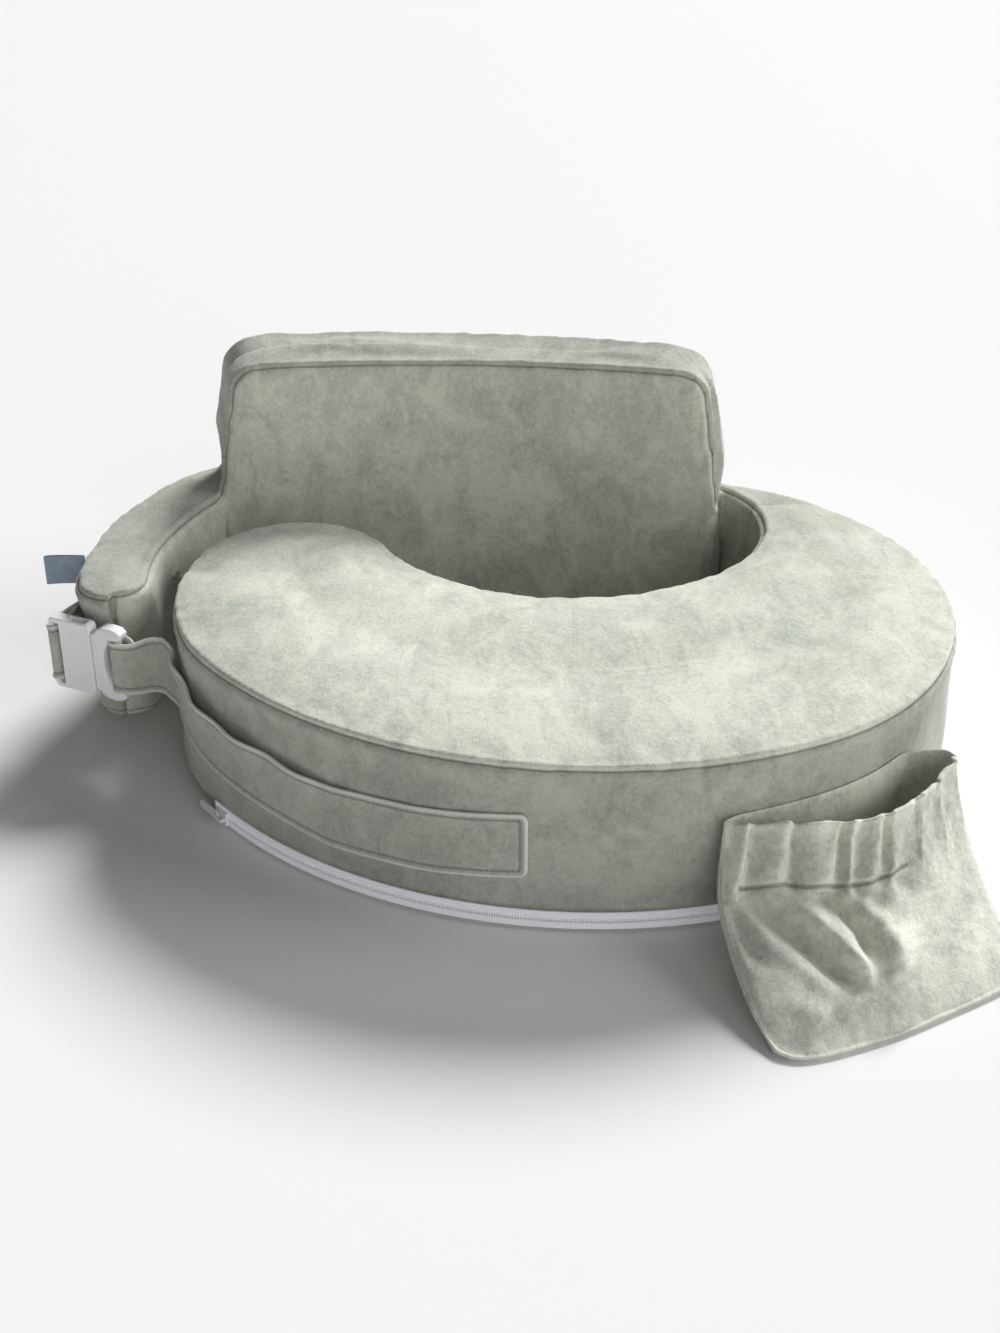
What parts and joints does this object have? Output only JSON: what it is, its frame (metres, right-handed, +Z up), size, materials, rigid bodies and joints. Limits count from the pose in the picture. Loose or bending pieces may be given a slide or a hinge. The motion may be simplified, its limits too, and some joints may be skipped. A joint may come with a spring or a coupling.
{
  "type": "nursing pillow",
  "caption": "Wrap-around nursing pillow: a crescent foam cushion joined to a foam back support with an arm, closed by a waist strap with a side-release buckle, with a zip and a pocket.",
  "frame": {"origin": "on the surface it lies on, under the middle of the whole pillow's box", "axes": "+X across the pillow, from the arm and buckle to the joined side; +Y towards the back support; +Z up"},
  "size_m": [0.6289, 0.5636, 0.222],
  "materials": {
    "sage_velour": "plush",
    "strap_velour": "plush",
    "foam": "open-cell foam",
    "zip_tape": "woven",
    "zip_plastic": "satin",
    "white_plastic": "satin",
    "elastic": "knitted",
    "tag_ribbon": "satin ribbon"
  },
  "bodies": {
    "cushion": {"front_foam": "foam", "front_top_panel": "sage_velour", "front_side_band": "sage_velour", "front_bottom_panel": "sage_velour", "zipper_tape_upper": "zip_tape", "zipper_tape_lower": "zip_tape", "zipper_coils": "zip_plastic", "zipper_stops": "zip_plastic", "waist_strap": "strap_velour", "waist_strap_lead": "strap_velour", "pocket_back_panel": "sage_velour", "pocket_front_panel": "sage_velour", "pocket_hem": "sage_velour", "pocket_elastic": "elastic"},
    "back_band": {"back_foam": "foam", "back_inner_panel": "sage_velour", "back_outer_panel": "sage_velour", "back_top_strip": "sage_velour", "back_bottom_panel": "sage_velour", "side_tag": "tag_ribbon", "arm_strap": "strap_velour", "arm_strap_lead": "strap_velour", "buckle_plug": "white_plastic"},
    "prong_upper": {"buckle_prong_upper": "white_plastic"},
    "prong_lower": {"buckle_prong_lower": "white_plastic"},
    "socket": {"buckle_socket": "white_plastic"},
    "slider": {"zipper_slider": "white_plastic"},
    "pull": {"zipper_pull": "white_plastic"}
  },
  "joints": [
    {"name": "wrap_open", "type": "hinge", "parent": "cushion", "child": "back_band", "pos_m": [0.25533, 0.19, 0.06], "axis": [0, 0, -1], "range_deg": [0, 8], "stiffness_Nm_per_rad": 5, "deforming": ["waist_strap_lead"]},
    {"name": "buckle_slide", "type": "slide", "parent": "back_band", "child": "socket", "axis": [-0.9114, 0.4115, 0], "range_m": [0, 0.017], "deforming": ["arm_strap_lead"]},
    {"name": "prong_upper_flex", "type": "hinge", "parent": "back_band", "child": "prong_upper", "pos_m": [-0.27275, 0.0395, 0.0914], "axis": [-0.4115, -0.9114, 0], "range_deg": [0, 21.2]},
    {"name": "prong_lower_flex", "type": "hinge", "parent": "back_band", "child": "prong_lower", "pos_m": [-0.27275, 0.0395, 0.0526], "axis": [0.4115, 0.9114, 0], "range_deg": [0, 21.2]},
    {"name": "zipper_travel", "type": "hinge", "parent": "cushion", "child": "slider", "pos_m": [0.06462, 0.1464, 0.008], "axis": [0, 0, 1], "range_deg": [0, 54]},
    {"name": "pull_swing", "type": "hinge", "parent": "slider", "child": "pull", "pos_m": [-0.18336, -0.05885, 0.008], "axis": [0, 0, 1], "range_deg": [0, 140]}
  ],
  "couplings": [
    {"joint": "prong_upper_flex", "follows": "buckle_slide", "rad_per_m": 21.56},
    {"joint": "prong_lower_flex", "follows": "buckle_slide", "rad_per_m": 21.56}
  ]
}
